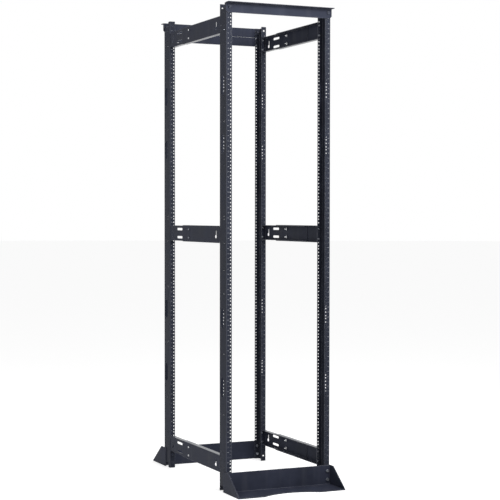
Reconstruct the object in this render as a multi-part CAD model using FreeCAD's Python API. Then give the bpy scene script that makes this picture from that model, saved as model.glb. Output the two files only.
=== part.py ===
import FreeCAD, Part
import os
from FreeCAD import Vector

# Four post open frame rack, 48 rack units tall over the posts.
# X runs across the frame, Y from the front to the rear, Z up from the floor.
# The origin is on the floor in the middle of the footprint; the front faces -Y.
# All lengths are in millimetres.

# ---- driving dimensions -------------------------------------------------

RACK_UNIT = 44.45               # height of one rack unit
POST_UNITS = 48                 # post height in rack units
FIRST_UNIT = 2                  # rack units covered by the base plate
LAST_UNIT = 47                  # the header starts here
HOLE_STEP_LOW = 6.35            # three equipment holes inside each rack unit
HOLE_STEP_MIDDLE = 22.225
HOLE_STEP_HIGH = 38.1
HOLE_COLUMN_SPACING = 465.1     # left to right hole columns
RACK_HOLE_DIA = 5.6             # threaded equipment hole

FRAME_DEPTH = 762.0             # front face of front posts to rear face of rear posts
POST_DEPTH = 76.2               # web of the channel posts
FLANGE_WIDTH = 26.0             # flanges of the channel posts
HOLE_COLUMN_INSET = 20.1        # outer face of the web to the hole column
POST_SHEET = 2.5
BEND_INNER_RADIUS = 1.0

WINDOW_WIDTH = 40.0             # obround windows in the post webs
WINDOW_LENGTH = 88.0
WINDOW_SETBACK = 48.0           # window centre line from the first flange
WINDOW_HEIGHTS = (457.2, 762.0, 1524.0, 1778.0)
WEB_HOLE_DIA = 8.0              # accessory holes in the post webs, in pairs
WEB_HOLE_SETBACKS = (28.5, 62.0)
WEB_HOLE_UNITS = (2.4, 3.2, 3.9, 7.6, 13.6, 19.55, 21.85, 24.5, 26.85, 27.15, 32.2,
                  36.45, 37.85, 38.95, 42.6, 44.05, 45.4, 45.9, 47.0)
NOTCH_HEIGHT = 24.0             # web cut away at both post ends
NOTCH_STRIP = 21.0              # strip of web left beside the first flange

FRAME_BOLT_DIA = 8.4            # headers and bases to posts
RAIL_BOLT_DIA = 5.0             # rails to posts, brace to posts
SLIDE_BOLT_DIA = 6.0            # front rail piece to rear rail piece
BOLT_CLEARANCE = 0.3            # all round a shank in its hole

HEADER_SHEET = 3.0
HEADER_REACH = 32.0             # top flange of a header, out from the posts
HEADER_CHAMFER = 9.0
HEADER_BOLT_DROP = 19.05        # bolt below the top of the posts

BRACE_EAR = 8.75                # one unit brace: hole column to its end
BRACE_GAP = 0.7                 # brace edge to the rack unit line
BRACE_SHEET = 3.0

BASE_SHEET = 4.0
BASE_REACH = 146.0              # foot plate out from the posts
BASE_BOLT_HEIGHTS = (25.4, 63.5)
ARCH_WIDTH = 264.0              # shallow cut-out in the edge of a foot plate
ARCH_DEPTH = 40.0
GUSSET_OVERLAP = 25.0           # gusset laid back over the post web
GUSSET_SHOULDER = 33.0          # level top edge of a gusset, out from the posts

RAIL_HEIGHT = 76.2
RAIL_FLANGE = 24.0
RAIL_SHEET = 2.0
RAIL_FIT = 0.3                  # slide clearance above and below the rear piece
RAIL_TAB_TRIM = 4.0             # tab edge in from the rail edge
RAIL_RELIEF = 3.0               # rail flange starts this far from the tab
RAIL_FRONT_LENGTH = 444.0
RAIL_REAR_LENGTH = 462.0
RAIL_HOLES = {"bottom": (2, HOLE_STEP_LOW), "middle": (24, HOLE_STEP_HIGH), "top": (45, HOLE_STEP_MIDDLE)}
# rack unit and hole step of the lower bolt of the rails on each level
SLIDE_BOLT_REACH = 364.0        # slide bolts from the front end of the rail
SLIDE_BOLT_PAIR = 38.1
SLOT_LENGTH = 68.0
SLOT_WIDTH = 11.0
SLOT_REACH = 124.0              # slot centre from the rear end of the rail
KEYHOLE_REACH = 40.0            # keyhole centre line from the tab
KEYHOLE_SLOT = 8.0
KEYHOLE_LENGTH = 34.0
KEYHOLE_FOOT_LENGTH = 20.0      # wide foot of a keyhole, round at both ends
KEYHOLE_FOOT_WIDTH = 14.0
KEYHOLE_FOOT_SHIFT = 4.0        # foot to the rear of the slot's centre line

CUT_OVERRUN = 2.0               # cutters run this far past the sheet

# ---- sizes that follow from them ----------------------------------------

POST_HEIGHT = POST_UNITS * RACK_UNIT
HALF_WIDTH = HOLE_COLUMN_SPACING / 2 + HOLE_COLUMN_INSET
FRONT_FACE = -FRAME_DEPTH / 2
REAR_POST_FACE = FRAME_DEPTH / 2 - POST_DEPTH
FLANGE_CENTRE = FLANGE_WIDTH / 2
RAIL_SPAN = REAR_POST_FACE - FRONT_FACE - POST_DEPTH
BASE_HEIGHT = FIRST_UNIT * RACK_UNIT
HEADER_HEIGHT = (POST_UNITS - LAST_UNIT) * RACK_UNIT
HEADER_HALF = HALF_WIDTH + BASE_SHEET
REAR_RAIL_HEIGHT = RAIL_HEIGHT - 2 * (RAIL_SHEET + RAIL_FIT)
SIDES = (("left", -1), ("right", 1))


# ---- small helpers ------------------------------------------------------

def box(x0, x1, y0, y1, z0, z1):
    """Block between two corners."""
    low = Vector(min(x0, x1), min(y0, y1), min(z0, z1))
    return Part.makeBox(abs(x1 - x0), abs(y1 - y0), abs(z1 - z0), low)


def hole_y(x, z, dia, y0, y1):
    """Round cutter running front to rear."""
    return Part.makeCylinder(dia / 2, y1 - y0, Vector(x, y0, z), Vector(0, 1, 0))


def hole_x(y, z, dia, x0, x1):
    """Round cutter running left to right."""
    return Part.makeCylinder(dia / 2, x1 - x0, Vector(x0, y, z), Vector(1, 0, 0))


def clearance(dia):
    """Hole for a shank of this diameter."""
    return dia + 2 * BOLT_CLEARANCE


def round_long_edges(shape, direction, places, radius):
    """Fillet the edges that run along one direction through given places."""
    edges = []
    for edge in shape.Edges:
        along = edge.tangentAt(edge.FirstParameter)
        if abs(abs(along.dot(direction)) - 1) > 1e-6:
            continue
        middle = edge.valueAt((edge.FirstParameter + edge.LastParameter) / 2)
        offset = middle - direction * middle.dot(direction)
        if any((offset - place).Length < 1e-3 for place in places):
            edges.append(edge)
    return shape.makeFillet(radius, edges)


def prism_y(points, y0, y1):
    """Flat shape given in X and Z, run from y0 to y1."""
    ring = [Vector(x, y0, z) for x, z in points]
    face = Part.Face(Part.makePolygon(ring + ring[:1]))
    return face.extrude(Vector(0, y1 - y0, 0))


def prism_x(points, x0, x1):
    """Flat shape given in Y and Z, run from x0 to x1."""
    ring = [Vector(x0, y, z) for y, z in points]
    face = Part.Face(Part.makePolygon(ring + ring[:1]))
    return face.extrude(Vector(x1 - x0, 0, 0))


def obround_x(y, z, size_y, size_z, x0, x1):
    """Round ended cutter running left to right."""
    radius = min(size_y, size_z) / 2
    dy = size_y / 2 - radius
    dz = size_z / 2 - radius
    ends = [hole_x(y + s * dy, z + s * dz, 2 * radius, x0, x1) for s in (-1, 1)]
    if dy > dz:
        core = box(x0, x1, y - dy, y + dy, z - radius, z + radius)
    else:
        core = box(x0, x1, y - radius, y + radius, z - dz, z + dz)
    return core.fuse(ends)


def placed_rail(shape, side, y, z):
    """Left hand rail piece moved to either side, mirrored for the right."""
    out = shape.copy()
    if side > 0:
        out = out.mirror(Vector(0, 0, 0), Vector(1, 0, 0))
    out.translate(Vector(side * HALF_WIDTH, y, z))
    return out


def placed_post(shape, side, y):
    """Post moved to either side, turned half round for the right."""
    out = shape.copy()
    if side > 0:
        out.rotate(Vector(0, POST_DEPTH / 2, 0), Vector(0, 0, 1), 180)
    out.translate(Vector(side * HALF_WIDTH, y, 0))
    return out


def turned_to_rear(shape):
    """Front assembly mirrored to the rear of the frame."""
    return shape.mirror(Vector(0, 0, 0), Vector(0, 1, 0))


# ---- posts --------------------------------------------------------------

def rack_hole_heights():
    """Heights of the equipment holes, three in every rack unit."""
    heights = []
    for unit in range(FIRST_UNIT, LAST_UNIT):
        heights += [unit * RACK_UNIT + step for step in (HOLE_STEP_LOW, HOLE_STEP_MIDDLE, HOLE_STEP_HIGH)]
    return heights


def channel_post():
    """Left post: web on X 0, flanges turned towards +X, first flange on Y 0."""
    body = box(0, FLANGE_WIDTH, 0, POST_DEPTH, 0, POST_HEIGHT)
    hollow = box(POST_SHEET, FLANGE_WIDTH + CUT_OVERRUN,
                 POST_SHEET, POST_DEPTH - POST_SHEET, 0, POST_HEIGHT)
    body = body.cut(hollow)
    up = Vector(0, 0, 1)
    outer = [Vector(0, 0, 0), Vector(0, POST_DEPTH, 0)]
    inner = [Vector(POST_SHEET, POST_SHEET, 0),
             Vector(POST_SHEET, POST_DEPTH - POST_SHEET, 0)]
    body = round_long_edges(body, up, outer, POST_SHEET + BEND_INNER_RADIUS)
    body = round_long_edges(body, up, inner, BEND_INNER_RADIUS)

    through = (-CUT_OVERRUN, POST_DEPTH + CUT_OVERRUN)
    cutters = [hole_y(HOLE_COLUMN_INSET, z, RACK_HOLE_DIA, *through)
               for z in rack_hole_heights()]
    frame_bolts = BASE_BOLT_HEIGHTS + (POST_HEIGHT - HEADER_BOLT_DROP,)
    cutters += [hole_y(FLANGE_CENTRE, z, clearance(FRAME_BOLT_DIA), *through)
                for z in frame_bolts]

    web = (-CUT_OVERRUN, POST_SHEET + CUT_OVERRUN)
    cutters += [obround_x(WINDOW_SETBACK, z, WINDOW_WIDTH, WINDOW_LENGTH, *web)
                for z in WINDOW_HEIGHTS]
    cutters += [hole_x(setback, unit * RACK_UNIT, WEB_HOLE_DIA, *web)
                for setback in WEB_HOLE_SETBACKS for unit in WEB_HOLE_UNITS]
    for low in (-CUT_OVERRUN, POST_HEIGHT - NOTCH_HEIGHT):
        cutters.append(box(-CUT_OVERRUN, POST_SHEET + BEND_INNER_RADIUS,
                           NOTCH_STRIP, POST_DEPTH - POST_SHEET,
                           low, low + NOTCH_HEIGHT + CUT_OVERRUN))
    return body.cut(cutters)


# ---- headers and brace --------------------------------------------------

def header():
    """Front header: upright plate on the post faces, top flange to the front."""
    top = POST_HEIGHT
    low = top - HEADER_HEIGHT
    plate = prism_y([(-HEADER_HALF, top), (HEADER_HALF, top),
                     (HEADER_HALF, low + HEADER_CHAMFER),
                     (HEADER_HALF - HEADER_CHAMFER, low),
                     (-HEADER_HALF + HEADER_CHAMFER, low),
                     (-HEADER_HALF, low + HEADER_CHAMFER)],
                    FRONT_FACE - HEADER_SHEET, FRONT_FACE)
    flange = box(-HEADER_HALF, HEADER_HALF, FRONT_FACE - HEADER_REACH,
                 FRONT_FACE, top - HEADER_SHEET, top)
    angle = plate.fuse(flange).removeSplitter()
    across = Vector(1, 0, 0)
    outer = [Vector(0, FRONT_FACE, top)]
    inner = [Vector(0, FRONT_FACE - HEADER_SHEET, top - HEADER_SHEET)]
    angle = round_long_edges(angle, across, outer, HEADER_SHEET + BEND_INNER_RADIUS)
    angle = round_long_edges(angle, across, inner, BEND_INNER_RADIUS)
    z = top - HEADER_BOLT_DROP
    cutters = [hole_y(side * (HALF_WIDTH - FLANGE_CENTRE), z, clearance(FRAME_BOLT_DIA),
                      FRONT_FACE - HEADER_SHEET - CUT_OVERRUN, FRONT_FACE + CUT_OVERRUN)
               for _, side in SIDES]
    return angle.cut(cutters)


def brace_holes():
    """Centres of the brace bolts in X and Z."""
    low = (LAST_UNIT - 1) * RACK_UNIT
    heights = (low + HOLE_STEP_LOW, low + HOLE_STEP_HIGH)
    return [(side * HOLE_COLUMN_SPACING / 2, z) for _, side in SIDES for z in heights]


def rear_brace():
    """One unit tall plate on the rear faces of the rear posts."""
    face = -FRONT_FACE
    low = (LAST_UNIT - 1) * RACK_UNIT
    half = HOLE_COLUMN_SPACING / 2 + BRACE_EAR
    plate = box(-half, half, face, face + BRACE_SHEET,
                low + BRACE_GAP, low + RACK_UNIT - BRACE_GAP)
    cutters = [hole_y(x, z, clearance(RAIL_BOLT_DIA),
                      face - CUT_OVERRUN, face + BRACE_SHEET + CUT_OVERRUN)
               for x, z in brace_holes()]
    return plate.cut(cutters)


# ---- bases --------------------------------------------------------------

def base_angle():
    """Front base: upright plate on the post faces and foot plate on the floor."""
    edge = FRONT_FACE - BASE_REACH
    plate = box(-HALF_WIDTH, HALF_WIDTH, FRONT_FACE - BASE_SHEET, FRONT_FACE,
                0, BASE_HEIGHT)
    foot = box(-HALF_WIDTH, HALF_WIDTH, edge, FRONT_FACE, 0, BASE_SHEET)
    angle = plate.fuse(foot).removeSplitter()
    across = Vector(1, 0, 0)
    outer = [Vector(0, FRONT_FACE, 0)]
    inner = [Vector(0, FRONT_FACE - BASE_SHEET, BASE_SHEET)]
    angle = round_long_edges(angle, across, outer, BASE_SHEET + BEND_INNER_RADIUS)
    angle = round_long_edges(angle, across, inner, BEND_INNER_RADIUS)

    # The arch is a circle segment through both ends and the deepest point.
    half = ARCH_WIDTH / 2
    radius = (half ** 2 + ARCH_DEPTH ** 2) / (2 * ARCH_DEPTH)
    centre = Vector(0, edge + ARCH_DEPTH - radius, -CUT_OVERRUN)
    arch = Part.makeCylinder(radius, BASE_SHEET + 2 * CUT_OVERRUN, centre)
    cutters = [hole_y(side * (HALF_WIDTH - FLANGE_CENTRE), z, clearance(FRAME_BOLT_DIA),
                      FRONT_FACE - BASE_SHEET - CUT_OVERRUN, FRONT_FACE + CUT_OVERRUN)
               for _, side in SIDES for z in BASE_BOLT_HEIGHTS]
    return angle.cut([arch] + cutters)


def gusset(side):
    """Side plate of the front base, lapped back over the post web."""
    tip = FRONT_FACE - BASE_REACH
    back = FRONT_FACE + GUSSET_OVERLAP
    outline = [(back, 0), (back, BASE_HEIGHT), (FRONT_FACE - GUSSET_SHOULDER, BASE_HEIGHT),
               (tip, BASE_SHEET), (tip, 0)]
    inner = side * HALF_WIDTH
    return prism_x(outline, inner, inner + side * BASE_SHEET)


# ---- side rails ---------------------------------------------------------

def rail_channel(height, x, y0, y1):
    """Channel with its web on X x and both flanges turned towards +X."""
    body = box(x, RAIL_FLANGE, y0, y1, -height / 2, height / 2)
    inside = height / 2 - RAIL_SHEET
    hollow = box(x + RAIL_SHEET, RAIL_FLANGE + CUT_OVERRUN, y0, y1, -inside, inside)
    body = body.cut(hollow)
    along = Vector(0, 1, 0)
    outer = [Vector(x, 0, s * height / 2) for s in (-1, 1)]
    inner = [Vector(x + RAIL_SHEET, 0, s * inside) for s in (-1, 1)]
    body = round_long_edges(body, along, outer, RAIL_SHEET + BEND_INNER_RADIUS)
    return round_long_edges(body, along, inner, BEND_INNER_RADIUS)


def rail_piece(height, x, length, foot):
    """Rail piece from its tab at Y 0 towards +Y; the tab turns towards +X.

    The keyhole's foot points along Y by foot: 1 towards +Y, -1 towards -Y, 0 for no keyhole.
    """
    body = rail_channel(height, x, 0, length)
    relief = box(x + RAIL_SHEET + BEND_INNER_RADIUS, RAIL_FLANGE + CUT_OVERRUN,
                 -CUT_OVERRUN, RAIL_SHEET + RAIL_RELIEF, -height, height)
    corners = [box(x - CUT_OVERRUN, RAIL_FLANGE, -CUT_OVERRUN, RAIL_SHEET + RAIL_RELIEF,
                   s * (height / 2 - RAIL_TAB_TRIM), s * height) for s in (-1, 1)]
    body = body.cut([relief] + corners)
    reach = height / 2 - RAIL_TAB_TRIM
    tab = box(x, FLANGE_WIDTH, 0, RAIL_SHEET, -reach, reach)
    body = body.fuse(tab).removeSplitter()
    up = Vector(0, 0, 1)
    body = round_long_edges(body, up, [Vector(x, 0, 0)], RAIL_SHEET + BEND_INNER_RADIUS)
    body = round_long_edges(body, up, [Vector(x + RAIL_SHEET, RAIL_SHEET, 0)],
                            BEND_INNER_RADIUS)
    cutters = [hole_y(HOLE_COLUMN_INSET, s * RACK_UNIT / 2, clearance(RAIL_BOLT_DIA),
                      -CUT_OVERRUN, RAIL_SHEET + CUT_OVERRUN) for s in (-1, 1)]
    if foot:
        web = (x - CUT_OVERRUN, x + RAIL_SHEET + CUT_OVERRUN)
        low = -KEYHOLE_LENGTH / 2 + KEYHOLE_FOOT_WIDTH / 2
        cutters.append(obround_x(KEYHOLE_REACH, 0, KEYHOLE_SLOT, KEYHOLE_LENGTH, *web))
        cutters.append(obround_x(KEYHOLE_REACH + foot * KEYHOLE_FOOT_SHIFT, low,
                                 KEYHOLE_FOOT_LENGTH, KEYHOLE_FOOT_WIDTH, *web))
    return body.cut(cutters)


def slide_holes(reach):
    """Cutters for the two slide bolts, at this reach along the rail."""
    return [hole_x(reach, s * SLIDE_BOLT_PAIR / 2, clearance(SLIDE_BOLT_DIA),
                   -CUT_OVERRUN, 2 * RAIL_SHEET + CUT_OVERRUN) for s in (-1, 1)]


def front_rail(foot):
    """Outer rail piece, fixed to the front post."""
    body = rail_piece(RAIL_HEIGHT, 0, RAIL_FRONT_LENGTH, foot)
    return body.cut(slide_holes(SLIDE_BOLT_REACH))


def rear_rail():
    """Inner rail piece, fixed to the rear post and running to the front."""
    body = rail_piece(REAR_RAIL_HEIGHT, RAIL_SHEET, RAIL_REAR_LENGTH, -1)
    slots = [obround_x(SLOT_REACH, s * SLIDE_BOLT_PAIR / 2, SLOT_LENGTH, SLOT_WIDTH,
                       -CUT_OVERRUN, 2 * RAIL_SHEET + CUT_OVERRUN) for s in (-1, 1)]
    body = body.cut(slots + slide_holes(RAIL_SPAN - SLIDE_BOLT_REACH))
    return body.mirror(Vector(0, 0, 0), Vector(0, 1, 0))


def rail_centre(unit, step):
    """Height of the middle of a rail whose lower bolt is in this hole."""
    return unit * RACK_UNIT + step + RACK_UNIT / 2


# ---- build --------------------------------------------------------------

def build():
    """All pieces by name."""
    pieces = {}
    post = channel_post()
    for name, side in SIDES:
        pieces["post_front_" + name] = placed_post(post, side, FRONT_FACE)
        pieces["post_rear_" + name] = placed_post(post, side, REAR_POST_FACE)
        front_gusset = gusset(side)
        pieces["gusset_front_" + name] = front_gusset
        pieces["gusset_rear_" + name] = turned_to_rear(front_gusset)
        outer = front_rail(1 if side < 0 else 0)
        inner = rear_rail()
        for level, (unit, step) in RAIL_HOLES.items():
            z = rail_centre(unit, step)
            prefix = "rail_" + level + "_" + name
            front_end = FRONT_FACE + POST_DEPTH
            pieces[prefix + "_front"] = placed_rail(outer, side, front_end, z)
            pieces[prefix + "_rear"] = placed_rail(inner, side, REAR_POST_FACE, z)
    for name, shape in (("header", header()), ("base", base_angle())):
        pieces[name + "_front"] = shape
        pieces[name + "_rear"] = turned_to_rear(shape)
    pieces["brace_rear"] = rear_brace()
    return pieces


os.makedirs("parts", exist_ok=True)
for piece_name, piece in build().items():
    piece.exportStep("parts/" + piece_name + ".step")
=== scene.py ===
import math

import bmesh
import bpy
from mathutils import Matrix, Vector


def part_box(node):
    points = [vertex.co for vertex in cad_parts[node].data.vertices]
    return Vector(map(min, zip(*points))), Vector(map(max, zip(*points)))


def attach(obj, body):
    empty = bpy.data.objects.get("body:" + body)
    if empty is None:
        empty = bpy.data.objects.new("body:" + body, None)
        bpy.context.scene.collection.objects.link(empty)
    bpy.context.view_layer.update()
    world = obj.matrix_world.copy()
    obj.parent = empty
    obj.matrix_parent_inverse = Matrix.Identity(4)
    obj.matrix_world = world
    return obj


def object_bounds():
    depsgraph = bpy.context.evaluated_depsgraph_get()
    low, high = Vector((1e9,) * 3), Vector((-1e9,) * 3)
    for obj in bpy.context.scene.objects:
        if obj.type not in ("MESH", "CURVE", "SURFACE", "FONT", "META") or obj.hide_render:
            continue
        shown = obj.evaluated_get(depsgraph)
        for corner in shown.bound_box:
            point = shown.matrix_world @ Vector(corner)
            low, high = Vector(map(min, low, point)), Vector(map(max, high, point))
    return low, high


# Looks of a four post open frame rack: its finishes, bolts and unit marks, with a floor, light and camera.
# Metres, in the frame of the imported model: X across, Y from front to rear, Z up, front towards -Y.

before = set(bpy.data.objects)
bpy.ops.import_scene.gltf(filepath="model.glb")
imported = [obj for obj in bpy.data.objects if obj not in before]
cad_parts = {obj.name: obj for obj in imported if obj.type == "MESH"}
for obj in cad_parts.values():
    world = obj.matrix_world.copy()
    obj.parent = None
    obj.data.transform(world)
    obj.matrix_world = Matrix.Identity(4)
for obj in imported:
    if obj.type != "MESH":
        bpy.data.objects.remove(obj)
cad_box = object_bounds()

# ---- the rack's own sizes -----------------------------------------------

RACK_UNIT = 0.04445
FIRST_UNIT = 2                  # unit line of the first mark, above the base plate
LAST_UNIT = 47                  # unit line of the last mark, where the header starts
HOLE_STEP_LOW = 0.00635         # first and last equipment hole inside a rack unit
HOLE_STEP_HIGH = 0.0381
HOLE_COLUMN_INSET = 0.0201      # outer face of a post to its hole column
FRAME_BOLT_INSET = 0.013        # outer face of a post to the header and base bolts
FRAME_BOLT_DROP = 0.01905       # header bolt below the top of the posts
BASE_BOLT_HEIGHTS = (0.0254, 0.0635)
SLIDE_BOLT_REACH = 0.364        # front end of a rail to its slide bolts
SLIDE_BOLT_PAIR = 0.0381        # between the two slide bolts
POST_SHEET = 0.0025
RAIL_SHEET = 0.002
BRACE_SHEET = 0.003
HEADER_SHEET = 0.003
BASE_SHEET = 0.004

SIDES = (("left", -1), ("right", 1))
LEVELS = ("bottom", "middle", "top")

# ---- bolts: shares of the bolt size unless a comment names another -------

FRAME_BOLT = 0.008              # thread sizes, in metres
RACK_SCREW = 0.005
SLIDE_BOLT = 0.005
SHANK_TAIL = 1.15               # shank past the sheets
SLIDE_TAIL = 2.4
HEX_FLATS = 1.6                 # width of a head or nut across its flats
SLIDE_NUT_FLATS = 2.3
HEX_CROWN = 0.475               # radius of a hexagon's flat end, of its flats
HEAD_CHAMFER = math.radians(30)
FLANGE_RADIUS = 0.86
FLANGE_RIM = 0.10               # heights over the seat: rim, foot, upright sides and top of a head
HEAD_FOOT = 0.16
HEAD_SIDES = 0.18
HEAD_TOP = 0.66
DISH_RIM = 0.36                 # dish in a head's top: two radii of its flats, then its floor's height
DISH_FLOOR_RADIUS = 0.33
DISH_FLOOR = 0.62
POINT_LENGTH = 0.12             # chamfered end of the shank
POINT_RADIUS = 0.8              # of the shank's radius
THREAD_PITCH = 0.16
THREAD_CREST = 0.15             # crest and root along a turn, of the pitch
THREAD_ROOT = 0.65
THREAD_ROOT_RADIUS = 0.9        # of the shank's radius
NUT_BORE = 0.505                # bore's radius
NUT_HEIGHT = 0.75
NUT_CHAMFER_SLOPE = 0.577
NUT_SEAT_RADIUS = 0.49          # of its flats
NUT_SEAT_BEVEL = 0.02           # height of the bevel at its seat
RING = 24                       # points round a bolt, four to each flat
TURN_STEP = 0.35                # radians between the ways that heads can be turned
TURN_STRIDE = 7                 # each next bolt goes on by so many of these ways
TURN_WAYS = 5
SHARP_EDGE = math.radians(32)

# ---- unit marks ---------------------------------------------------------

MARK_PROUD = 0.00012            # ink stands this far out of the coat
MARK_SINK = 0.00004             # and reaches this far into it
MARK_INSET = 0.0088             # outer face of a post to the middle of its marks
DASH_WIDTH = 0.0065
DASH_HEIGHT = 0.0014
DIGIT_HEIGHT = 0.0042
FONT_SIZE = 1.4                 # font size for a digit height of 1
DIGIT_STEPS = 2                 # points along a curve of a digit

# ---- finishes -----------------------------------------------------------
# Colours are linear and textures are (scale, detail, stretch). A span is the part of a value's range
# over which what it drives changes, and a cover is the most that a colour hides of the one below.

POST_BLACK = (0.0205, 0.023, 0.034)
FRAME_BLACK = (0.024, 0.027, 0.042)
COAT_SHADES = (0.82, 1.22)      # darkest and lightest share of a coat's colour
COAT_SPECULAR = 0.06
COAT_TINT = (0.80, 0.88, 1.0, 1.0)
COAT_SHIFT = (3.1, 1.7, 0.9)    # texture shift for each step of the seed
COAT_ROUGHNESS = (0.46, 0.56)
PEEL_ROUGHNESS = 0.08
RUBBED_POLISH = 0.28            # roughness that rubbed level faces lose
RUBBED_SPECULAR = 0.5
CLOUD = (9, 3.0)
CLOUD_SPAN = (0.3, 0.7)
STREAK = (22, 2.0, (1.0, 1.0, 0.08))
STREAK_SPAN = (0.56, 0.78)
PEEL = (620, 3.0)
PEEL_SPAN = (0.4, 0.7)
GRAIN = (2400, 1.0)
FLECK_SPAN = (0.66, 0.74)
DUST = (0.11, 0.11, 0.12)
DUST_COVER = 0.14
FLECK = (0.10, 0.10, 0.115)
FLECK_COVER = 0.20
EDGE_RADIUS = 0.0018
EDGE_SAMPLES = 4
EDGE_SPAN = (0.995, 0.90)       # cosine of the turn away from the flat face
# rubbed edges: real wear of the coat, and also a painted highlight where the edges would catch the light
EDGE_WEAR_AND_HIGHLIGHT = (0.21, 0.215, 0.24)
EDGE_WEAR_AND_HIGHLIGHT_SPAN = (0.35, 0.65)
EDGE_WEAR_AND_HIGHLIGHT_COVER = (0.5, 0.95)        # least and most
# painted highlight down the upright bends, a lighter coat where the bends would catch the light
BEND_PAINTED_HIGHLIGHT = (0.10, 0.105, 0.13)
BEND_SPAN = (0.05, 0.22)        # product of the X and Y squares, 0.25 at most
BEND_COVER = 0.55
LEVEL_SPAN = (0.5, 0.8)         # square of the Z part
PEEL_BUMP = (0.35, 0.00025)     # strength and distance
GRAIN_HEIGHT = 0.3              # grain's share of the bump

PLATE_CLOUD = (260, 3.0)
PLATE_CLOUD_SPAN = (0.35, 0.65)
PLATE_SCRATCH = (900, 2.0, (1.0, 0.15, 1.0))
PLATE_SCRATCH_SPAN = (0.3, 0.7)
PLATE_BUMP = (0.2, 0.0001)
INK = (0.30, 0.31, 0.33)
INK_BASE = (0.05, 0.05, 0.06)   # black coat that shows through thin ink
INK_GRAIN = (1500, 2.0)
INK_GRAIN_SPAN = (0.3, 0.5)
INK_GRAIN_LEAST = 0.6
INK_PATCH = (60, 2.0)
INK_PATCH_SPAN = (0.3, 0.6)
INK_PATCH_LEAST = 0.7
INK_ROUGHNESS = 0.55

# ---- studio -------------------------------------------------------------

WORLD_FILL = 0.36               # fill light of the white world on the object
FLOOR_WHITE = (0.88, 0.88, 0.88, 1)
FLOOR_REACH = 60
FLOOR_POINTS = 96
FLOOR_LIFT = 0.5                # white that the floor shows over its own shading
AIM_DROP = 0.3                  # both soft boxes look this far below the top
KEY_POWER = 90
KEY_WIDTH = 1.4
KEY_RIGHT = 0.4
KEY_AHEAD = 2.0
KEY_RAISE = 0.45
SIDE_POWER = 12
SIDE_WIDTH = 1.0
SIDE_OUT = 2.2
SIDE_AHEAD = 0.6
SIDE_RAISE = 0.4
SUN_STRENGTH = 0.6
SUN_SPREAD = 30                 # degrees, as all angles of the sun and the camera
SUN_HEADING = -20
SUN_HEIGHT = 55
CAMERA_PLACE = (-2.687, -6.074, 1.215)
CAMERA_HEADING = 24.10
CAMERA_TILT = 1.425
CAMERA_ROLL = 0.06
CAMERA_LENS = 102.75            # millimetres, with the sensor's width
SENSOR_WIDTH = 36
CLIP_START = 0.1
CLIP_END = 200


# ---- shader nodes -------------------------------------------------------

def new_material(name):
    """Empty node material with a Principled shader; returns it with its nodes, links and shader."""
    made = bpy.data.materials.new(name)
    made.use_nodes = True
    tree = made.node_tree
    tree.nodes.clear()
    shader = tree.nodes.new("ShaderNodeBsdfPrincipled")
    output = tree.nodes.new("ShaderNodeOutputMaterial")
    tree.links.new(shader.outputs["BSDF"], output.inputs["Surface"])
    return made, tree.nodes, tree.links, shader


def noise(nodes, links, place, scale, detail, stretch=(1, 1, 1)):
    """Noise value on a place vector, stretched along the axes."""
    mapping = nodes.new("ShaderNodeMapping")
    mapping.inputs["Scale"].default_value = stretch
    links.new(place, mapping.inputs["Vector"])
    texture = nodes.new("ShaderNodeTexNoise")
    texture.inputs["Scale"].default_value = scale
    texture.inputs["Detail"].default_value = detail
    links.new(mapping.outputs["Vector"], texture.inputs["Vector"])
    return texture.outputs["Fac"]


def ramp(nodes, links, value, low, high, to_low=0.0, to_high=1.0):
    """Value from low..high mapped to to_low..to_high and held there outside it."""
    node = nodes.new("ShaderNodeMapRange")
    node.clamp = True
    for key, number in (("From Min", low), ("From Max", high), ("To Min", to_low), ("To Max", to_high)):
        node.inputs[key].default_value = number
    links.new(value, node.inputs["Value"])
    return node.outputs["Result"]


def arithmetic(nodes, links, operation, a, b):
    """Math node on two values, each a socket or a number."""
    node = nodes.new("ShaderNodeMath")
    node.operation = operation
    for socket, value in zip(node.inputs, (a, b)):
        if isinstance(value, (int, float)):
            socket.default_value = value
        else:
            links.new(value, socket)
    return node.outputs["Value"]


def mix_colour(nodes, links, factor, a, b):
    """Colour from a to b by a factor; each colour is a socket or three numbers."""
    node = nodes.new("ShaderNodeMix")
    node.data_type = "RGBA"
    links.new(factor, node.inputs["Factor"])
    for socket, value in ((node.inputs[6], a), (node.inputs[7], b)):
        if isinstance(value, tuple):
            socket.default_value = (*value, 1.0)
        else:
            links.new(value, socket)
    return node.outputs[2]


def bump_map(nodes, links, height, strength, distance):
    """Bump node on a height value."""
    bump = nodes.new("ShaderNodeBump")
    bump.inputs["Strength"].default_value = strength
    bump.inputs["Distance"].default_value = distance
    links.new(height, bump.inputs["Height"])
    return bump


def edge_mask(nodes, links):
    """Rounded normal and how far it turns from the flat one: 1 right on an edge, 0 away from edges."""
    rounded = nodes.new("ShaderNodeBevel")
    rounded.samples = EDGE_SAMPLES
    rounded.inputs["Radius"].default_value = EDGE_RADIUS
    flat = nodes.new("ShaderNodeNewGeometry")
    dot = nodes.new("ShaderNodeVectorMath")
    dot.operation = "DOT_PRODUCT"
    links.new(rounded.outputs["Normal"], dot.inputs[0])
    links.new(flat.outputs["Normal"], dot.inputs[1])
    return rounded.outputs["Normal"], ramp(nodes, links, dot.outputs["Value"], *EDGE_SPAN)


def turned_squares(nodes, links):
    """Squares of the X, Y and Z parts of the surface's direction."""
    facing = nodes.new("ShaderNodeNewGeometry").outputs["True Normal"]
    parts = nodes.new("ShaderNodeSeparateXYZ")
    links.new(facing, parts.inputs["Vector"])
    return [arithmetic(nodes, links, "MULTIPLY", parts.outputs[axis], parts.outputs[axis]) for axis in "XYZ"]


def level_faces(nodes, links):
    """1 on faces that look up or down, 0 on upright ones."""
    return ramp(nodes, links, turned_squares(nodes, links)[2], *LEVEL_SPAN)


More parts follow.
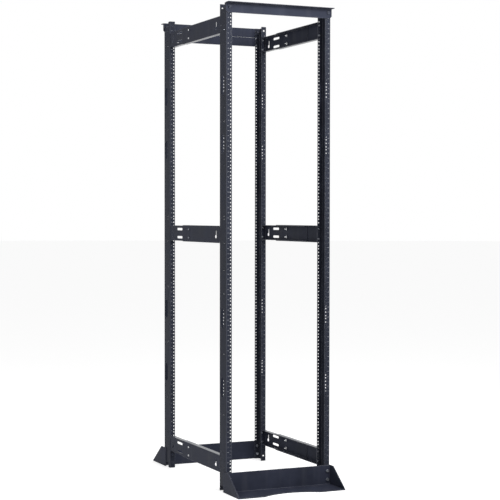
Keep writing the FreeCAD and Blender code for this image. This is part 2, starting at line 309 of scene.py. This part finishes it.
def upright_bends(nodes, links):
    """1 in the middle of upright bends between X and Y, 0 on the flat faces beside them."""
    across, along, _ = turned_squares(nodes, links)
    return ramp(nodes, links, arithmetic(nodes, links, "MULTIPLY", across, along), *BEND_SPAN)


# ---- powder coat --------------------------------------------------------

def coat_place(nodes, links, seed):
    """Object coordinates, shifted so that each coat has its own pattern."""
    place = nodes.new("ShaderNodeTexCoord").outputs["Object"]
    shifted = nodes.new("ShaderNodeVectorMath")
    shifted.operation = "ADD"
    shifted.inputs[1].default_value = [seed * step for step in COAT_SHIFT]
    links.new(place, shifted.inputs[0])
    return shifted.outputs["Vector"]


def coat_colour(nodes, links, place, colour, cloud, grain):
    """Coat of uneven depth with faint dust streaks and pale flecks."""
    streak = noise(nodes, links, place, *STREAK)
    deep, pale = (tuple(c * shade for c in colour) for shade in COAT_SHADES)
    body = mix_colour(nodes, links, ramp(nodes, links, cloud, *CLOUD_SPAN), deep, pale)
    dust = ramp(nodes, links, streak, *STREAK_SPAN, to_high=DUST_COVER)
    dusty = mix_colour(nodes, links, dust, body, DUST)
    fleck = ramp(nodes, links, grain, *FLECK_SPAN, to_high=FLECK_COVER)
    return mix_colour(nodes, links, fleck, dusty, FLECK)


def wear_and_highlight_colour(nodes, links, coat, cloud, edge):
    """Coat colour with rubbed edges that are partly real wear and partly a painted highlight, and a painted
    highlight down upright bends.
    """
    cover = ramp(nodes, links, cloud, *EDGE_WEAR_AND_HIGHLIGHT_SPAN, *EDGE_WEAR_AND_HIGHLIGHT_COVER)
    # edges lightened both for wear and as a painted highlight
    edge_wear_and_highlight = mix_colour(nodes, links, arithmetic(nodes, links, "MULTIPLY", edge, cover), coat, EDGE_WEAR_AND_HIGHLIGHT)
    # painted highlight down upright bends
    bend = arithmetic(nodes, links, "MULTIPLY", upright_bends(nodes, links), BEND_COVER)
    return mix_colour(nodes, links, bend, edge_wear_and_highlight, BEND_PAINTED_HIGHLIGHT)


def burnish(nodes, links, shader, rough):
    """Smoother and shinier level faces, where the rail pieces slide in each other; returns the roughness."""
    level = level_faces(nodes, links)
    shine = ramp(nodes, links, level, 0.0, 1.0, COAT_SPECULAR, RUBBED_SPECULAR)
    links.new(shine, shader.inputs["Specular IOR Level"])
    polish = arithmetic(nodes, links, "MULTIPLY", level, RUBBED_POLISH)
    return arithmetic(nodes, links, "SUBTRACT", rough, polish)


def powder_coat(name, colour, seed, rubbed=False):
    """Satin black powder coat with orange peel, dust, flecks, rubbed edges that also carry a painted
    highlight and a painted highlight down upright bends, burnished if rubbed.
    """
    made, nodes, links, shader = new_material(name)
    place = coat_place(nodes, links, seed)
    peel = noise(nodes, links, place, *PEEL)
    grain = noise(nodes, links, place, *GRAIN)
    cloud = noise(nodes, links, place, *CLOUD)
    normal, edge = edge_mask(nodes, links)

    coat = coat_colour(nodes, links, place, colour, cloud, grain)
    links.new(wear_and_highlight_colour(nodes, links, coat, cloud, edge), shader.inputs["Base Color"])
    shader.inputs["Specular Tint"].default_value = COAT_TINT

    uneven = ramp(nodes, links, cloud, *CLOUD_SPAN, *COAT_ROUGHNESS)
    peeled = ramp(nodes, links, peel, *PEEL_SPAN, to_high=PEEL_ROUGHNESS)
    rough = arithmetic(nodes, links, "ADD", uneven, peeled)
    if rubbed:
        rough = burnish(nodes, links, shader, rough)
    else:
        shader.inputs["Specular IOR Level"].default_value = COAT_SPECULAR
    links.new(rough, shader.inputs["Roughness"])

    fine = arithmetic(nodes, links, "MULTIPLY", grain, GRAIN_HEIGHT)
    bump = bump_map(nodes, links, arithmetic(nodes, links, "ADD", peel, fine), *PEEL_BUMP)
    links.new(normal, bump.inputs["Normal"])
    links.new(bump.outputs["Normal"], shader.inputs["Normal"])
    return made


def dress_nodes():
    """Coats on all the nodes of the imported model; returns the (slot, material) of each kind of piece."""
    coats = {
        "post": ("post_coat", powder_coat("post_powder_coat", POST_BLACK, seed=1)),
        "rail": ("rail_coat", powder_coat("rail_powder_coat", FRAME_BLACK, seed=2, rubbed=True)),
        "header": ("frame_coat", powder_coat("frame_powder_coat", FRAME_BLACK, seed=3)),
    }
    for other in ("brace", "base", "gusset"):
        coats[other] = coats["header"]
    for name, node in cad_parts.items():
        slot_name, coat = coats[name.split("_")[0]]
        node.data.materials.clear()
        node.data.materials.append(coat)
    return coats


# ---- plated steel and ink -----------------------------------------------

def plated_steel(name, dull, bright, smooth, rough):
    """Plated steel, a little uneven between two tones and scuffed along Y."""
    made, nodes, links, shader = new_material(name)
    place = nodes.new("ShaderNodeTexCoord").outputs["Object"]
    cloud = noise(nodes, links, place, *PLATE_CLOUD)
    scratch = noise(nodes, links, place, *PLATE_SCRATCH)
    tone = mix_colour(nodes, links, ramp(nodes, links, cloud, *PLATE_CLOUD_SPAN), dull, bright)
    links.new(tone, shader.inputs["Base Color"])
    scuffed = ramp(nodes, links, scratch, *PLATE_SCRATCH_SPAN, smooth, rough)
    links.new(scuffed, shader.inputs["Roughness"])
    shader.inputs["Metallic"].default_value = 1.0
    bump = bump_map(nodes, links, scratch, *PLATE_BUMP)
    links.new(bump.outputs["Normal"], shader.inputs["Normal"])
    return made


def bright_zinc():
    """Bright zinc plate of the slide bolts, as (material, slot)."""
    plate = plated_steel("bright_zinc", dull=(0.60, 0.61, 0.63), bright=(0.82, 0.82, 0.82),
                         smooth=0.20, rough=0.36)
    return plate, "rail_bolt_plate"


def black_zinc():
    """Dark zinc plate of the base, brace and rail end bolts and of the middle left slide bolts."""
    plate = plated_steel("black_zinc", dull=(0.19, 0.20, 0.23), bright=(0.30, 0.315, 0.35),
                         smooth=0.30, rough=0.44)
    return plate, "frame_bolt_plate"


def mark_ink(name):
    """Pale grey screen print, thin in places so that the black shows through."""
    made, nodes, links, shader = new_material(name)
    place = nodes.new("ShaderNodeTexCoord").outputs["Object"]
    grain = noise(nodes, links, place, *INK_GRAIN)
    patch = noise(nodes, links, place, *INK_PATCH)
    fine = ramp(nodes, links, grain, *INK_GRAIN_SPAN, to_low=INK_GRAIN_LEAST)
    broad = ramp(nodes, links, patch, *INK_PATCH_SPAN, to_low=INK_PATCH_LEAST)
    cover = arithmetic(nodes, links, "MULTIPLY", fine, broad)
    links.new(mix_colour(nodes, links, cover, INK_BASE, INK), shader.inputs["Base Color"])
    shader.inputs["Roughness"].default_value = INK_ROUGHNESS
    return made


# ---- bolts and nuts -----------------------------------------------------

def hex_side(flats):
    """Radius of a hexagon with this width across its flats, as a function of the angle."""
    def radius(angle):
        turn = (angle + math.pi / 6) % (math.pi / 3) - math.pi / 6
        return flats / 2 / math.cos(turn)

    return radius


def ring_of(bm, radius, height):
    """Ring of vertices; radius and height are numbers or functions of the angle."""
    points = []
    for i in range(RING):
        angle = 2 * math.pi * i / RING
        r = radius(angle) if callable(radius) else radius
        z = height(angle) if callable(height) else height
        points.append(bm.verts.new((r * math.cos(angle), r * math.sin(angle), z)))
    return points


def stack(bm, rings, closed=False):
    """Skin over rings in order: capped at both ends, or joined last to first when closed."""
    made = [ring_of(bm, *r) for r in rings]
    pairs = list(zip(made, made[1:])) + ([(made[-1], made[0])] if closed else [])
    for low, high in pairs:
        for i in range(RING):
            j = (i + 1) % RING
            bm.faces.new((low[i], low[j], high[j], high[i]))
    if not closed:
        bm.faces.new(tuple(reversed(made[0])))
        bm.faces.new(tuple(made[-1]))


def hex_rings(flats, base, top):
    """Side and cone chamfer of a hexagon from base to top."""
    side = hex_side(flats)
    crown = flats * HEX_CROWN
    slope = math.tan(HEAD_CHAMFER)

    def shoulder(angle):
        return top - (side(angle) - crown) * slope

    return [(side, base), (side, shoulder), (crown, top)]


def thread_rings(radius, start, end, pitch):
    """Rings of a threaded shank from start to end, going either way."""
    turns = max(1, round(abs(end - start) / pitch))
    step = (end - start) / turns
    rings = []
    for turn in range(turns):
        foot = start + turn * step
        rings.append((radius, foot + step * THREAD_CREST))
        rings.append((radius * THREAD_ROOT_RADIUS, foot + step * THREAD_ROOT))
    return rings


def bolt_mesh(size, grip, tail):
    """Hex bolt with a washer face along +Z: its seat is at Z 0 and the shank runs down to -(grip + tail)."""
    bm = bmesh.new()
    flats = size * HEX_FLATS
    flange = size * FLANGE_RADIUS
    top = size * HEAD_TOP
    radius = size / 2
    end = -(grip + tail)
    shank = [(radius * POINT_RADIUS, end)]
    shank += thread_rings(radius, end + size * POINT_LENGTH, -grip, size * THREAD_PITCH)
    shank += [(radius, -grip), (radius, 0)]
    head = [(flange, 0), (flange, size * FLANGE_RIM), (hex_side(flats), size * HEAD_FOOT)]
    head += hex_rings(flats, size * HEAD_SIDES, top)
    head += [(flats * DISH_RIM, top), (flats * DISH_FLOOR_RADIUS, size * DISH_FLOOR)]
    stack(bm, shank + head)
    return bm


def nut_mesh(size, start, flats):
    """Hex nut along -Z from this depth, with its bore just clear of the shank."""
    bm = bmesh.new()
    side = hex_side(flats)
    crown = flats * HEX_CROWN
    bore = size * NUT_BORE
    low = -start - size * NUT_HEIGHT

    def shoulder(angle):
        return low + (side(angle) - crown) * NUT_CHAMFER_SLOPE

    rings = [(bore, low), (crown, low), (side, shoulder), (side, -start - size * NUT_SEAT_BEVEL),
             (flats * NUT_SEAT_RADIUS, -start), (bore, -start)]
    stack(bm, rings, closed=True)
    return bm


def finish_mesh(name, bm, material, slot):
    """Mesh object on the root body, smooth but for its sharp edges."""
    bmesh.ops.recalc_face_normals(bm, faces=bm.faces)
    mesh = bpy.data.meshes.new(name)
    bm.to_mesh(mesh)
    bm.free()
    mesh.polygons.foreach_set("use_smooth", [True] * len(mesh.polygons))
    mesh.set_sharp_from_angle(angle=SHARP_EDGE)
    made = bpy.data.objects.new(name, mesh)
    bpy.context.scene.collection.objects.link(made)
    mesh.materials.append(material)
    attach(made, "root")


def fasteners(name, size, grip, places, plating, tail=SHANK_TAIL, nut=HEX_FLATS):
    """One joined piece of bolts and nuts.

    Each place is the head's seat and the way its head points. In bolt sizes, tail is the shank past
    its sheets and nut is the nut's width across its flats.
    """
    whole = bmesh.new()
    for number, (seat, out) in enumerate(places):
        aim = Vector(out).to_track_quat("Z", "Y").to_matrix().to_4x4()
        spin = Matrix.Rotation(TURN_STEP * (number * TURN_STRIDE % TURN_WAYS), 4, "Z")
        for part in (bolt_mesh(size, grip, size * tail), nut_mesh(size, grip, size * nut)):
            part.transform(Matrix.Translation(seat) @ aim @ spin)
            copy = bpy.data.meshes.new("copy")
            part.to_mesh(copy)
            part.free()
            whole.from_mesh(copy)
            bpy.data.meshes.remove(copy)
    finish_mesh(name, whole, *plating)


# ---- where the bolts go -------------------------------------------------

def post_face(side):
    """X of the outer faces of the posts on one side."""
    low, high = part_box("post_front_left" if side < 0 else "post_front_right")
    return low.x if side < 0 else high.x


def header_bolts(where, way, plating):
    """Two bolts through a header and the post flanges behind it."""
    low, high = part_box("post_" + where + "_left")
    face = (low.y if way < 0 else high.y) + way * HEADER_SHEET
    z = high.z - FRAME_BOLT_DROP
    places = [((post_face(s) - s * FRAME_BOLT_INSET, face, z), (0, way, 0)) for _, s in SIDES]
    fasteners("bolts_header_" + where, FRAME_BOLT, HEADER_SHEET + POST_SHEET, places, plating)


def base_bolts(where, way, plating):
    """Four bolts through a base plate and the post flanges behind it."""
    low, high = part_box("post_" + where + "_left")
    face = (low.y if way < 0 else high.y) + way * BASE_SHEET
    places = [((post_face(s) - s * FRAME_BOLT_INSET, face, z), (0, way, 0))
              for _, s in SIDES for z in BASE_BOLT_HEIGHTS]
    fasteners("bolts_base_" + where, FRAME_BOLT, BASE_SHEET + POST_SHEET, places, plating)


def brace_bolts(plating):
    """Four screws through the brace and the rear flanges of the rear posts."""
    low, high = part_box("brace_rear")
    bottom = round(low.z / RACK_UNIT) * RACK_UNIT
    places = [((post_face(s) - s * HOLE_COLUMN_INSET, high.y, bottom + step), (0, 1, 0))
              for _, s in SIDES for step in (HOLE_STEP_LOW, HOLE_STEP_HIGH)]
    fasteners("bolts_brace_rear", RACK_SCREW, BRACE_SHEET + POST_SHEET, places, plating)


def rail_end_bolts(level, plating):
    """Two screws at each of the four rail ends on one level."""
    places = []
    for name, side in SIDES:
        x = post_face(side) - side * HOLE_COLUMN_INSET
        for where in ("front", "rear"):
            low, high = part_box("_".join(("rail", level, name, where)))
            middle = (low.z + high.z) / 2
            seat = low.y - POST_SHEET if where == "front" else high.y - RAIL_SHEET
            places += [((x, seat, middle + s * RACK_UNIT / 2), (0, -1, 0)) for s in (-1, 1)]
    fasteners("bolts_rail_ends_" + level, RACK_SCREW, POST_SHEET + RAIL_SHEET, places, plating)


def slide_bolts(level, name, side, plating):
    """Two bolts on one side that hold the two rail pieces of a level at their length."""
    low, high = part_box("_".join(("rail", level, name, "front")))
    middle = (low.z + high.z) / 2
    places = [((post_face(side), low.y + SLIDE_BOLT_REACH, middle + s * SLIDE_BOLT_PAIR / 2), (side, 0, 0))
              for s in (-1, 1)]
    fasteners("_".join(("bolts_rail_slide", level, name)), SLIDE_BOLT, 2 * RAIL_SHEET, places, plating,
              tail=SLIDE_TAIL, nut=SLIDE_NUT_FLATS)


def add_bolts(coats):
    """All bolts: those of the headers in the headers' coat, the others plated."""
    bright, black = bright_zinc(), black_zinc()
    for where, way in (("front", -1), ("rear", 1)):
        header_bolts(where, way, coats["header"][::-1])
        base_bolts(where, way, black)
    brace_bolts(black)
    for level in LEVELS:
        rail_end_bolts(level, black)
        for name, side in SIDES:
            slide_bolts(level, name, side, black if (level, name) == ("middle", "left") else bright)


# ---- marks --------------------------------------------------------------

def digit_mesh(text):
    """Thin filled outlines of a number, centred on the origin."""
    curve = bpy.data.curves.new("digits", "FONT")
    curve.body = text
    curve.size = DIGIT_HEIGHT * FONT_SIZE
    curve.align_x = "CENTER"
    curve.align_y = "CENTER"
    curve.resolution_u = DIGIT_STEPS
    curve.extrude = (MARK_PROUD + MARK_SINK) / 2
    holder = bpy.data.objects.new("digits", curve)
    mesh = bpy.data.meshes.new_from_object(holder)
    bpy.data.objects.remove(holder)
    bpy.data.curves.remove(curve)
    return mesh


def unit_marks(post, side, material):
    """Dashes on the unit lines and a number in each unit, on the outer faces of both flanges of a post."""
    low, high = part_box(post)
    x = post_face(side) - side * MARK_INSET
    shift = (MARK_PROUD - MARK_SINK) / 2
    dash = Matrix.Diagonal((DASH_WIDTH, DASH_HEIGHT, MARK_PROUD + MARK_SINK, 1))
    whole = bmesh.new()
    for y, way in ((low.y, -1), (high.y, 1)):
        upright = Matrix.Rotation(math.pi / 2, 4, "X")
        if way > 0:
            upright = Matrix.Rotation(math.pi, 4, "Z") @ upright
        for unit in range(FIRST_UNIT, LAST_UNIT + 1):
            seat = Matrix.Translation((x, y + way * shift, unit * RACK_UNIT))
            bmesh.ops.create_cube(whole, size=1, matrix=seat @ upright @ dash)
        for unit in range(FIRST_UNIT, LAST_UNIT):
            digits = digit_mesh(str(unit - FIRST_UNIT + 1))
            middle = (unit + 0.5) * RACK_UNIT
            digits.transform(Matrix.Translation((x, y + way * shift, middle)) @ upright)
            whole.from_mesh(digits)
            bpy.data.meshes.remove(digits)
    finish_mesh("unit_marks_" + post, whole, material, "unit_mark_ink")


def add_marks():
    """Unit marks on all four posts."""
    ink = mark_ink("unit_mark_ink")
    for where in ("front", "rear"):
        for name, side in SIDES:
            unit_marks("_".join(("post", where, name)), side, ink)


# ---- floor, light and camera --------------------------------------------

def seen_directly(nodes, links):
    """1 for camera, glossy and transmission rays, 0 for the rays that light the object."""
    path = nodes.new("ShaderNodeLightPath")
    seen = path.outputs["Is Camera Ray"]
    for ray in ("Is Glossy Ray", "Is Transmission Ray"):
        seen = arithmetic(nodes, links, "MAXIMUM", seen, path.outputs[ray])
    return seen


def white_world():
    """White where it shows, and a plain fill light on the object."""
    world = bpy.data.worlds.new("studio")
    bpy.context.scene.world = world
    world.use_nodes = True
    nodes, links = world.node_tree.nodes, world.node_tree.links
    nodes.clear()
    background = nodes.new("ShaderNodeBackground")
    background.inputs["Color"].default_value = (1, 1, 1, 1)
    output = nodes.new("ShaderNodeOutputWorld")
    links.new(background.outputs["Background"], output.inputs["Surface"])
    seen = seen_directly(nodes, links)
    links.new(ramp(nodes, links, seen, 0.0, 1.0, to_low=WORLD_FILL), background.inputs["Strength"])


def floor_finish():
    """Matt white that is lifted where it shows, so that it meets the background and keeps the shadow."""
    made = bpy.data.materials.new("pale_floor")
    made.use_nodes = True
    nodes, links = made.node_tree.nodes, made.node_tree.links
    nodes.clear()
    diffuse = nodes.new("ShaderNodeBsdfDiffuse")
    diffuse.inputs["Color"].default_value = FLOOR_WHITE
    glow = nodes.new("ShaderNodeEmission")
    lift = arithmetic(nodes, links, "MULTIPLY", seen_directly(nodes, links), FLOOR_LIFT)
    links.new(lift, glow.inputs["Strength"])
    both = nodes.new("ShaderNodeAddShader")
    output = nodes.new("ShaderNodeOutputMaterial")
    links.new(diffuse.outputs["BSDF"], both.inputs[0])
    links.new(glow.outputs["Emission"], both.inputs[1])
    links.new(both.outputs["Shader"], output.inputs["Surface"])
    return made


def pale_floor(centre):
    """Plain round floor below the rack."""
    bm = bmesh.new()
    bmesh.ops.create_circle(bm, cap_ends=True, segments=FLOOR_POINTS, radius=FLOOR_REACH,
                            matrix=Matrix.Translation((centre.x, centre.y, 0)))
    mesh = bpy.data.meshes.new("floor")
    bm.to_mesh(mesh)
    bm.free()
    floor = bpy.data.objects.new("floor", mesh)
    bpy.context.scene.collection.objects.link(floor)
    mesh.materials.append(floor_finish())


def lamp_holder(name, lamp, towards):
    """Object for a lamp that shines away from this direction."""
    holder = bpy.data.objects.new(name, lamp)
    bpy.context.scene.collection.objects.link(holder)
    holder.rotation_mode = "QUATERNION"
    holder.rotation_quaternion = towards.to_track_quat("Z", "Y")
    return holder


def soft_box(name, power, width, place, target):
    """Square area lamp at a place, facing a target."""
    lamp = bpy.data.lights.new(name, "AREA")
    lamp.energy = power
    lamp.size = width
    holder = lamp_holder(name, lamp, Vector(place) - Vector(target))
    holder.location = place


def sun(name, strength, spread, heading, height):
    """Soft distant lamp; heading is where it stands seen from above, as the camera's is, in degrees."""
    lamp = bpy.data.lights.new(name, "SUN")
    lamp.energy = strength
    lamp.angle = math.radians(spread)
    a, e = math.radians(heading), math.radians(height)
    lamp_holder(name, lamp, Vector((math.sin(a) * math.cos(e), -math.cos(a) * math.cos(e), math.sin(e))))


def add_lamps(low, high):
    """Key lamp before the rack, a weak one at its left and a soft sun, placed from the rack's box."""
    aim = high.z - AIM_DROP
    soft_box("key", KEY_POWER, KEY_WIDTH,
             (KEY_RIGHT, low.y - KEY_AHEAD, high.z + KEY_RAISE), (0, low.y, aim))
    soft_box("side", SIDE_POWER, SIDE_WIDTH,
             (low.x - SIDE_OUT, low.y - SIDE_AHEAD, high.z + SIDE_RAISE), (0, 0, aim))
    sun("top", SUN_STRENGTH, SUN_SPREAD, SUN_HEADING, SUN_HEIGHT)


def camera(place, heading, tilt, roll, lens):
    """Camera at a place, turned right from +Y by heading, tilted down and rolled, in degrees."""
    made = bpy.data.cameras.new("camera")
    made.lens = lens
    made.sensor_width = SENSOR_WIDTH
    made.clip_start = CLIP_START
    made.clip_end = CLIP_END
    holder = bpy.data.objects.new("camera", made)
    bpy.context.scene.collection.objects.link(holder)
    a, t = math.radians(heading), math.radians(tilt)
    ahead = Vector((math.sin(a) * math.cos(t), math.cos(a) * math.cos(t), -math.sin(t)))
    level = Vector((math.cos(a), -math.sin(a), 0))
    right = Matrix.Rotation(math.radians(-roll), 3, ahead) @ level
    up = right.cross(ahead)
    holder.matrix_world = Matrix((right, up, -ahead)).transposed().to_4x4()
    holder.location = place
    bpy.context.scene.camera = holder


# ---- build --------------------------------------------------------------

add_bolts(dress_nodes())
add_marks()

white_world()
pale_floor((cad_box[0] + cad_box[1]) / 2)
add_lamps(*cad_box)
camera(CAMERA_PLACE, CAMERA_HEADING, CAMERA_TILT, CAMERA_ROLL, CAMERA_LENS)
bpy.context.scene.view_settings.view_transform = "Standard"
